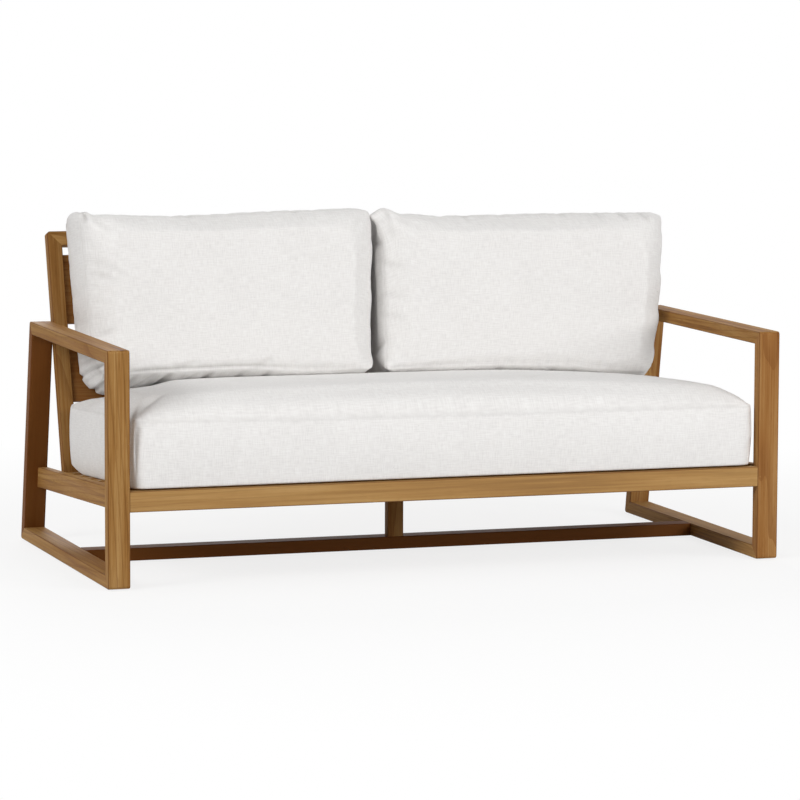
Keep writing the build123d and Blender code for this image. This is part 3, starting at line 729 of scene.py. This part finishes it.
def tuck_depth(places, height, boxing, tucks):
    """Depth of the tucks in a lower boxing at each point. A tuck stands at a place along
    the edge and slants as it goes back, with a half width and a depth, in millimetres."""
    depth = np.zeros(len(places))
    for place, slant, half_width, deep in tucks:
        away = places[:, 0] - place * MM + slant * (1 - height) * boxing
        depth += deep * MM * furrow(away, half_width * MM)
    return depth * np.sin(np.pi * np.clip(height, 0, 1)) ** 0.5


def ripples(places, waves, seed):
    """Slow unevenness of stuffed cloth, between -1 and 1, in waves of the lengths given."""
    picks = np.random.default_rng(seed)
    total = np.zeros(len(places))
    for length in waves:
        for _ in range(4):
            turn = picks.normal(size=3)
            turn *= 2 * np.pi / length / np.linalg.norm(turn)
            total += np.sin(places @ turn + picks.uniform(0, 2 * np.pi))
    return total / (4 * len(waves))


def cloth_object(name, places, faces, threads, marks):
    """Make the mesh object of one cushion, with its thread coordinates and marks."""
    mesh = bpy.data.meshes.new(name)
    mesh.from_pydata(places.tolist(), [], faces)
    layer = mesh.uv_layers.new(name="threads")
    layer.data.foreach_set("uv", np.array(threads, float).reshape(-1))
    for mark, values in marks.items():
        mesh.attributes.new(mark, "FLOAT", "POINT").data.foreach_set("value", values)
    mesh.polygons.foreach_set("use_smooth", [True] * len(mesh.polygons))
    mesh.update()
    piece = bpy.data.objects.new(name, mesh)
    bpy.context.scene.collection.objects.link(piece)
    return piece


def inflate(piece, hold, pressure, growth, cap):
    """Fill the cushion: cloth under pressure, its seams held, no point moved past a cap."""
    start = mesh_places(piece.data)
    group = piece.vertex_groups.new(name="hold")
    group.add(np.flatnonzero(hold).tolist(), 1.0, "REPLACE")
    cloth = piece.modifiers.new("Cloth", "CLOTH")
    settings = cloth.settings
    settings.quality = 5
    settings.mass = 0.3
    settings.tension_stiffness = 15
    settings.compression_stiffness = 15
    settings.shear_stiffness = 5
    settings.bending_stiffness = 0.5
    settings.use_pressure = True
    settings.uniform_pressure_force = pressure
    settings.effector_weights.gravity = 0
    settings.shrink_min = -growth
    settings.vertex_group_mass = "hold"
    scene = bpy.context.scene
    for step in range(1, 21):
        scene.frame_set(step)
    depsgraph = bpy.context.evaluated_depsgraph_get()
    moved = mesh_places(piece.evaluated_get(depsgraph).data)
    piece.modifiers.remove(cloth)
    piece.vertex_groups.remove(group)
    scene.frame_set(1)
    shift = moved - start
    length = np.linalg.norm(shift, axis=1, keepdims=True)
    shift *= np.minimum(1.0, cap / np.maximum(length, 1e-9))
    piece.data.vertices.foreach_set("co", (start + shift).reshape(-1))
    piece.data.update()


def subdivide(piece):
    """Apply one level of subdivision to a piece."""
    piece.modifiers.new("Subdivision", "SUBSURF").levels = 1
    depsgraph = bpy.context.evaluated_depsgraph_get()
    mesh = bpy.data.meshes.new_from_object(piece.evaluated_get(depsgraph))
    old = piece.data
    piece.modifiers.clear()
    piece.data = mesh
    bpy.data.meshes.remove(old)
    mesh.name = piece.name
    mesh.polygons.foreach_set("use_smooth", [True] * len(mesh.polygons))


def crease(piece, size, boxing, shape, props, seed):
    """Sink the seams and folds into a filled cushion and keep it in its own space."""
    mesh = piece.data
    places = mesh_places(mesh)
    height, seam = mesh_values(mesh, "height"), mesh_values(mesh, "seam")
    across, upward = mesh_values(mesh, "across"), mesh_values(mesh, "upward")
    # Slow unevenness fades out at the seams, and folds sink into front and boxing
    inside = 1 - np.maximum(np.abs(2 * across - 1), np.abs(2 * upward - 1))
    on_front = np.clip((height - 0.9) * 10, 0, 1)
    calm = np.clip(inside * 8, 0, 1) * on_front
    folds = fold_depth(places, height, shape["folds"])
    folds += tuck_depth(places, height, boxing, shape["tucks"]) * mesh_values(mesh, "under")
    # Where a cushion has settled, its front folds over the lower seam
    above_seam, half_width = 9 * MM, 5 * MM
    over_seam = np.exp(-(((upward * size[1] - above_seam) / half_width) ** 2)) * on_front
    folds += shape["overhang"](2 * across - 1) * over_seam
    shift = ripples(places, (200 * MM, 350 * MM), seed) * shape["ripple"] * calm
    shift -= folds + seam * props.seam_depth
    places += mesh_normals(mesh) * shift[:, None]
    places[:, 2] = np.clip(places[:, 2], 0, size[2])
    for side in (0, 1):
        reach = size[side] / 2 + props.outreach
        places[:, side] = np.clip(places[:, side], -reach, reach)
    # Seams lie a little in shade, and folds the more the deeper they are
    darkest_fold = 12 * MM
    shaded = np.clip(0.2 * seam + folds / darkest_fold, 0, 1)
    mesh.attributes["seam"].data.foreach_set("value", shaded)
    mesh.vertices.foreach_set("co", places.reshape(-1))
    mesh.update()


def make_cushion(node, bed, boxing, spacing, cap, shape, props, seed):
    """Build one cushion in the space its solid holds, fill it and sink its seams. The
    cloth starts as a box of quads and is held at the seams and on its bed."""
    low, high = extent(node, bed)
    size = high - low
    middle_of_bed = Vector(((low[0] + high[0]) / 2, (low[1] + high[1]) / 2, low[2]))
    places, faces, threads, marks = cushion_form(size, boxing, shape, spacing)
    piece = cloth_object(f"{node}_cover", places, faces, threads, marks)
    hold = (marks["seam"] > 0) | (marks["height"] == 0)
    inflate(piece, hold, props.pressure, shape["growth"], cap)
    subdivide(piece)
    crease(piece, size, boxing, shape, props, seed)
    piece.data.transform(bed.to_4x4() @ Matrix.Translation(middle_of_bed))
    piece.data.update()
    return piece


def dress(piece, node, core, body, material):
    """Give a cushion its cloth, hang it on its body and hide the solid and core it stands in for."""
    piece.data.materials.append(material)
    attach(piece, body)
    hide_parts(node, core)


def cloth_material():
    """The one cushion cloth, made at its first use."""
    found = bpy.data.materials.get("plain_woven_olefin")
    return found or woven_olefin("plain_woven_olefin", bpy.context.scene.loveseat_cloth)


def level(u, v):
    """No lift anywhere."""
    return 0 * u


def full(u, v):
    """The whole crown everywhere."""
    return 0 * u + 1


class LOVESEAT_OT_timber(bpy.types.Operator):
    """Give every board its oiled teak, with the grain along it"""

    bl_idname = "loveseat.timber"
    bl_label = "Finish Timber"

    def execute(self, context):
        props = context.scene.loveseat_timber
        # The rear legs rake back, and their box is 26 mm deeper than the run of their lean
        low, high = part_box("left_rear_leg")
        run_of_lean = high.y - low.y - 26 * MM
        rake = (0, -run_of_lean, high.z - low.z)
        flat_along = (ALONG_SOFA, FORE_AND_AFT)
        leaning_along = (ALONG_SOFA, UP_THE_LEAN)
        pitched = (DOWN_THE_PITCH, ALONG_SOFA)
        upright = (UPRIGHT, ALONG_SOFA)
        lays = {
            "front_seat_rail": flat_along, "floor_stretcher": flat_along,
            "back_top_rail": leaning_along, "back_bottom_rail": leaning_along,
            "back_board_upper": leaning_along, "back_board_lower": leaning_along,
            "centre_post": upright, "centre_bearer": pitched,
            "back_centre_batten": (UP_THE_LEAN, ALONG_SOFA),
            "mitre_tenons": upright, "tenon_pins": (FORE_AND_AFT, ALONG_SOFA), "bolt_plugs": upright,
        }
        for name in SIDES:
            lays[f"{name}_front_leg"] = upright
            lays[f"{name}_arm"] = (FORE_AND_AFT, ALONG_SOFA)
            lays[f"{name}_sled"] = (FORE_AND_AFT, ALONG_SOFA)
            lays[f"{name}_rear_leg"] = (rake, ALONG_SOFA)
            lays[f"{name}_seat_rail"] = pitched
            lays[f"{name}_slat_cleat"] = pitched
            lays[f"{name}_back_stile"] = (UP_THE_LEAN, ALONG_SOFA)
        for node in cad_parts:
            if node.startswith("seat_slat_"):
                lays[node] = flat_along
        # Boards differ in tone, from -1 dark to 1 pale, and a little in redness: partly their own
        # tone, partly painted shade, darkest on the floor stretcher, centre post, rear left leg and
        # back boards, which lie in shade under the seat, the arm and the cushions
        tones_and_shade = {
            "left_front_leg": -0.08, "left_arm": -0.2, "left_rear_leg": -0.9, "left_sled": -0.05,
            "right_sled": 0.2, "left_seat_rail": 0.05, "front_seat_rail": 0.4, "floor_stretcher": -1.0,
            "centre_post": -0.35, "left_back_stile": -0.3, "back_board_upper": -0.35,
            "back_board_lower": -0.35,
        }
        reds = {
            "right_front_leg": 0.3, "left_rear_leg": 0.1, "right_rear_leg": 0.2,
            "back_board_upper": 0.3, "back_board_lower": 0.3,
        }
        for number, (node, lay) in enumerate(sorted(lays.items()), start=1):
            material = oiled_teak(node, lay, number, props, tones_and_shade.get(node, 0.0), reds.get(node, 0.0))
            finish_node(node, material)
        return {"FINISHED"}


class LOVESEAT_OT_small_parts(bpy.types.Operator):
    """Give the screws, bolts and glides their finishes"""

    bl_idname = "loveseat.small_parts"
    bl_label = "Finish Small Parts"

    def execute(self, context):
        props = context.scene.loveseat_small_parts
        steel = tumbled_steel(props)
        for node in ("slat_screws", "cleat_screws", "batten_screws", "back_frame_bolts"):
            finish_node(node, steel)
        finish_node("foot_glides", moulded_polyethylene(props))
        return {"FINISHED"}


class LOVESEAT_OT_seat_cushion(bpy.types.Operator):
    """Make the seat cushion"""

    bl_idname = "loveseat.seat_cushion"
    bl_label = "Make Seat Cushion"

    def execute(self, context):
        props = context.scene.loveseat_cushions
        drawn = props.drawn / MM
        # The left end sits a little higher than the rest, the rear seam rises to both ends,
        # and the rear left corner lifts off the slats
        end_lift = edge_curve((-1, 9), (-0.85, 7), (-0.4, 0), (0.2, -2), (1, -3))
        rear_lift = edge_curve((-1, 9), (-0.7, 5), (0.2, 0), (1, 6))
        corner_lift = edge_curve((-1, 30), (-0.92, 12), (-0.85, 0), (1, 0))

        def seam_lift(u, v):
            return end_lift(u) + rear_lift(u) * (v + 1) / 2

        def foot_lift(u, v):
            return corner_lift(u) * np.clip((v - 0.55) / 0.45, 0, 1) ** 1.5

        def worn_crown(u, v):
            """Low in the rear left corner, and falling away to the right end."""
            corner = 0.68 * np.clip((-u - 0.7) / 0.22, 0, 1) * np.clip((v - 0.1) / 0.5, 0, 1)
            return (1 - corner) * (1 - 0.3 * np.clip(u, 0, 1) ** 1.6)

        shape = {
            "left": edge_curve((-1, 0), (0, drawn), (1, 0)),
            "right": edge_curve((-1, 0), (0, drawn), (1, 0)),
            "low": edge_curve((-1, 0), (0, drawn / 4), (1, 0)),
            "high": edge_curve((-1, 0), (0, drawn / 2), (1, 0)),
            "roll": STRAIGHT,
            "lift": seam_lift, "foot": foot_lift, "fill": worn_crown,
            "radii": (
                (props.corner, props.corner * 0.5), (props.corner, props.corner * 0.35),
                (props.corner, props.corner), (props.corner, props.corner),
            ),
            "swell": props.seat_bulge, "overhang": STRAIGHT,
            "rims": (0.07, 0.07, 0.07, 0.07), "domes": (0.85, 0.85, 0.35, 0.35), "rim_share": 0.45,
            "growth": 0.004, "ripple": 1.5 * MM,
            "folds": (
                ((-846, -335), (-830, -270), 9, 2.5, 0.5),
                ((846, -335), (825, -260), 10, 2.5, 0.5),
            ),
            "tucks": ((-832, 0.12, 8, 4), (838, -0.1, 8, 3)),
        }
        piece = make_cushion(
            "seat_cushion", bed_directions(DOWN_THE_PITCH), props.seat_boxing, props.seat_spacing,
            props.seat_cap, shape, props, seed=3,
        )
        dress(piece, "seat_cushion", "seat_foam_core", "seat_cushion", cloth_material())
        return {"FINISHED"}


class LOVESEAT_OT_back_cushions(bpy.types.Operator):
    """Make the two back cushions"""

    bl_idname = "loveseat.back_cushions"
    bl_label = "Make Back Cushions"

    def execute(self, context):
        props = context.scene.loveseat_cushions
        ear = (props.corner * 0.3, props.corner * 0.4)
        corner = (props.corner * 0.5, props.corner * 0.5)
        half_foot = (props.corner, props.corner * 0.8)
        tucked_foot = (props.corner * 1.4, props.corner * 0.6)

        def pushed_foot(u, v):
            """The front seam, pushed forward towards the lower edge by the filling."""
            return 38 * MM * np.clip((-v - 0.5) / 0.5, 0, 1) ** 1.5

        def half_pushed_foot(u, v):
            """As before, but not in the lower right corner."""
            return pushed_foot(u, v) * np.clip((1 - u) * 2.5, 0, 1)

        shapes = {
            # Upright, with an ear at its upper left and its lower corners settled in
            "left": {
                "left": edge_curve((-1, 18), (-0.7, 5), (-0.3, 1), (0.6, -2), (1, -4)),
                "right": edge_curve(
                    (-1, 38), (-0.8, 34), (-0.45, 25), (0, 15), (0.6, 2), (0.9, 0), (1, 2)
                ),
                "low": edge_curve((-1, -12), (-0.6, -5), (0, 0), (1, 2)),
                "high": edge_curve(
                    (-1, -8), (-0.97, -5), (-0.9, 7), (-0.35, 14), (0.6, 5), (0.85, 3), (1, 6)
                ),
                "roll": edge_curve((-1, 18), (-0.7, 15), (0, 12), (0.55, -1), (1, 0)),
                "overhang": edge_curve((-1, 2), (-0.6, 4.5), (0, 4), (0.5, 2), (1, 0)),
                "radii": (tucked_foot, corner, corner, ear), "pinch_right": 16 * MM,
                "lift": pushed_foot,
                "folds": (
                    ((-400, 240), (-399, 200), 7, 9, 0.4),
                    ((-392, 222), (-340, 170), 10, 2.5, 0.2),
                    ((-400, 100), (-300, 45), 12, 1.8, 0.3),
                    ((-400, 60), (-330, 30), 10, 1.8, 0.3),
                    ((-450, -172), (-366, -160), 6, 3, 0.8),
                    ((-440, -204), (-350, -176), 6, 8, 1.3),
                    ((-424, -226), (-366, -196), 5, 4, 0.7),
                    ((-394, -248), (-336, -204), 7, 10, 1.3),
                    ((-400, -110), (-340, -96), 10, 3, 1.3),
                    ((-200, -215), (-120, -185), 11, 2, 0.2),
                    ((30, -218), (90, -180), 11, 2, 0.2),
                    ((-100, 240), (-112, 205), 10, 2.5, 0.4),
                    ((200, 242), (188, 212), 10, 2, 0.4),
                ),
                "tucks": (
                    (-296, 0.4, 9, 7), (-244, 0.9, 6, 4), (-200, 0.5, 12, 9), (-128, 0.8, 8, 4),
                    (-84, 0.5, 13, 7), (10, 0.7, 9, 3), (74, 0.4, 12, 4), (190, 0.4, 10, 2),
                ),
            },
            # Settled lower, leaning a little away from its neighbour
            "right": {
                "left": edge_curve(
                    (-1, -26), (-0.8, -14), (-0.6, -5), (0.3, 4), (0.62, 8), (0.85, -2), (1, -28)
                ),
                "right": edge_curve(
                    (-1, 53), (-0.69, 36), (-0.25, 13), (0.22, -4), (0.75, -19), (1, -22)
                ),
                "low": edge_curve((-1, 0), (-0.2, 0), (0.2, -5), (0.8, -25), (1, -25)),
                "high": edge_curve(
                    (-1, 2), (-0.9, -18), (-0.77, 0), (-0.5, 8), (0.3, 7), (0.9, 9), (1, 14)
                ),
                "roll": STRAIGHT,
                "overhang": edge_curve((-1, 2), (-0.92, 5), (-0.75, 2), (0, 1), (1, 1)),
                "radii": (ear, half_foot, corner, ear), "pinch_left": 26 * MM,
                "lift": half_pushed_foot,
                "folds": (
                    ((-388, 228), (-380, 196), 7, 6, 0.4),
                    ((-372, 212), (-325, 178), 9, 2.5, 0.2),
                    ((-388, 196), (-372, 150), 9, 2.5, 0.2),
                    ((-414, 90), (-350, 60), 10, 2.2, 0.3),
                    ((-414, 0), (-350, -24), 10, 2.2, 0.3),
                    ((-414, -60), (-360, -76), 9, 1.8, 0.3),
                    ((-160, 222), (-150, 190), 10, 2.2, 0.4),
                    ((120, 228), (140, 192), 10, 2.2, 0.4),
                    ((220, 228), (242, 188), 10, 3, 0.4),
                    ((290, 228), (316, 180), 9, 3.5, 0.4),
                    ((355, 226), (376, 175), 9, 3.5, 0.4),
                ),
                "tucks": ((-392, 0.4, 8, 4), (-360, 0.6, 8, 4), (-320, 0.5, 9, 3)),
            },
        }
        for seed, name in enumerate(SIDES, start=11):
            node = f"{name}_back_cushion"
            shape = shapes[name]
            shape |= {
                "foot": level, "fill": full, "swell": props.back_bulge,
                "rims": (0.11, 0.07, 0.022, 0.05), "domes": (0.41, 0.41, 0.045, 0.3), "rim_share": 0.5,
                "growth": 0.01, "ripple": 2.5 * MM,
            }
            piece = make_cushion(
                node, bed_directions(UP_THE_LEAN), props.back_boxing, props.back_spacing,
                props.back_cap, shape, props, seed,
            )
            dress(piece, node, f"{name}_back_core", node, cloth_material())
        return {"FINISHED"}


class LOVESEAT_OT_stage(bpy.types.Operator):
    """Set the floor, the lights and the camera"""

    bl_idname = "loveseat.stage"
    bl_label = "Set Stage"

    def execute(self, context):
        props = context.scene.loveseat_stage
        self.make_floor(context, props)
        self.make_sky(context, props)
        self.make_lamps(context, props)
        self.make_camera(context, props)
        context.scene.view_settings.view_transform = "Standard"
        return {"FINISHED"}

    def make_floor(self, context, props):
        """A pale floor that keeps the object's shadow and fades into the white beyond."""
        mesh = bpy.data.meshes.new("studio_floor")
        build = bmesh.new()
        bmesh.ops.create_grid(build, x_segments=4, y_segments=4, size=14.0)
        build.to_mesh(mesh)
        build.free()
        floor = bpy.data.objects.new("studio_floor", mesh)
        context.scene.collection.objects.link(floor)
        material, tree, shader = new_material("matt_studio_floor")
        shown = shown_rays(tree)
        tone = add_node(
            tree,
            "ShaderNodeMix",
            {FACTOR: shown, FIRST: props.bounce, SECOND: props.floor},
            data_type="RGBA",
        )
        # Near the object most of the white is the floor's own glow, further out all
        place = add_node(tree, "ShaderNodeTexCoord").outputs["Object"]
        away = add_node(tree, "ShaderNodeVectorMath", {0: place}, operation="LENGTH")
        white = add_node(
            tree,
            "ShaderNodeMapRange",
            {"Value": away.outputs["Value"], "From Min": 1.2, "From Max": 2.6, "To Min": 0.8,
             "To Max": 1.0},
        )
        share = add_node(tree, "ShaderNodeMath", {0: white.outputs[0], 1: shown}, operation="MULTIPLY")
        glow = add_node(tree, "ShaderNodeEmission", {"Color": (1, 1, 1, 1), "Strength": 1.0})
        mixed = add_node(
            tree,
            "ShaderNodeMixShader",
            {0: share.outputs[0], 1: shader.outputs["BSDF"], 2: glow.outputs[0]},
        )
        tree.links.new(tone.outputs[MIXED], shader.inputs["Base Color"])
        shader.inputs["Roughness"].default_value = 0.9
        shader.inputs["Specular IOR Level"].default_value = 0.1
        output = tree.nodes["Material Output"]
        tree.links.new(mixed.outputs[0], output.inputs["Surface"])
        mesh.materials.append(material)

    def make_sky(self, context, props):
        """Soft light from the sky, seen as white by the camera and in reflections."""
        world = bpy.data.worlds.new("studio")
        context.scene.world = world
        world.use_nodes = True
        tree = world.node_tree
        tree.nodes.clear()
        shown = shown_rays(tree)
        # Most of it comes from overhead, so that what lies low and behind stays dark
        place = add_node(tree, "ShaderNodeTexCoord").outputs["Generated"]
        height = add_node(tree, "ShaderNodeSeparateXYZ", {"Vector": place}).outputs["Z"]
        strength = add_node(
            tree,
            "ShaderNodeMapRange",
            {"Value": height, "From Min": 0.05, "From Max": 0.9, "To Min": props.sky / 6,
             "To Max": props.sky},
        )
        light = add_node(
            tree, "ShaderNodeBackground", {"Color": (1, 1, 1, 1), "Strength": strength.outputs[0]}
        )
        white = add_node(tree, "ShaderNodeBackground", {"Color": (1, 1, 1, 1), "Strength": 1.0})
        mixed = add_node(
            tree,
            "ShaderNodeMixShader",
            {0: shown, 1: light.outputs[0], 2: white.outputs[0]},
        )
        add_node(tree, "ShaderNodeOutputWorld", {"Surface": mixed.outputs[0]})

    def make_lamps(self, context, props):
        """Square area lamps on both sides of the object and behind it, with a weak one in front."""
        lamps = (
            ("high", (-5.6, -5.4, 6.0), 2.4, props.high_power),
            ("left", (-7.0, -3.0, 4.2), 2.5, props.left_power),
            ("right", (5.2, -6.4, 3.2), 4.0, props.right_power),
            ("front", (2.5, -8.0, 3.2), 3.0, props.front_power),
            ("rear", (1.0, 7.5, 4.5), 3.0, props.rear_power),
        )
        for name, place, size, power in lamps:
            light = bpy.data.lights.new(name, "AREA")
            light.shape = "SQUARE"
            light.size = size
            light.energy = power
            lamp = bpy.data.objects.new(name, light)
            aim = (Vector((0, 0, 0.4)) - Vector(place)).to_track_quat("-Z", "Y")
            lamp.matrix_world = Matrix.Translation(place) @ aim.to_matrix().to_4x4()
            context.scene.collection.objects.link(lamp)

    def make_camera(self, context, props):
        """The camera where the picture was taken from."""
        stand = (-3.504208, -10.505643, 1.645167)
        yaw, pitch, roll = 0.323412, 0.111569, 0.00365
        look = Vector((math.sin(yaw) * math.cos(pitch), math.cos(yaw) * math.cos(pitch), -math.sin(pitch)))
        right = Vector((math.cos(yaw), -math.sin(yaw), 0))
        up = right.cross(look)
        across = math.cos(roll) * right + math.sin(roll) * up
        upward = math.cos(roll) * up - math.sin(roll) * right
        turn = Matrix((across, upward, -look)).transposed()
        data = bpy.data.cameras.new("camera")
        data.lens = props.lens
        data.sensor_width = 36.0
        data.clip_end = 100.0
        camera = bpy.data.objects.new("camera", data)
        camera.matrix_world = Matrix.Translation(stand) @ turn.to_4x4()
        context.scene.collection.objects.link(camera)
        context.scene.camera = camera


class LOVESEAT_PT_panel(bpy.types.Panel):
    """Lists the loveseat's operators"""

    bl_idname = "LOVESEAT_PT_panel"
    bl_label = "Loveseat"
    bl_space_type = "VIEW_3D"
    bl_region_type = "UI"
    bl_category = "Loveseat"

    def draw(self, context):
        for operator in OPERATORS:
            self.layout.operator(operator.bl_idname)


OPERATORS = (
    LOVESEAT_OT_stage,
    LOVESEAT_OT_timber,
    LOVESEAT_OT_small_parts,
    LOVESEAT_OT_seat_cushion,
    LOVESEAT_OT_back_cushions,
)
GROUPS = {
    "loveseat_timber": LoveseatTimber,
    "loveseat_small_parts": LoveseatSmallParts,
    "loveseat_cloth": LoveseatCloth,
    "loveseat_cushions": LoveseatCushions,
    "loveseat_stage": LoveseatStage,
}


def register():
    """Make the groups, operators and panel known to Blender."""
    for name, group in GROUPS.items():
        bpy.utils.register_class(group)
        setattr(bpy.types.Scene, name, bpy.props.PointerProperty(type=group))
    for item in (*OPERATORS, LOVESEAT_PT_panel):
        bpy.utils.register_class(item)


def unregister():
    """Take them away again."""
    for item in reversed((*OPERATORS, LOVESEAT_PT_panel)):
        bpy.utils.unregister_class(item)
    for name, group in reversed(GROUPS.items()):
        delattr(bpy.types.Scene, name)
        bpy.utils.unregister_class(group)


def main():
    """Register everything and run each operator in turn."""
    register()
    bpy.ops.loveseat.stage()
    bpy.ops.loveseat.timber()
    bpy.ops.loveseat.small_parts()
    bpy.ops.loveseat.seat_cushion()
    bpy.ops.loveseat.back_cushions()


if __name__ == "__main__":
    main()
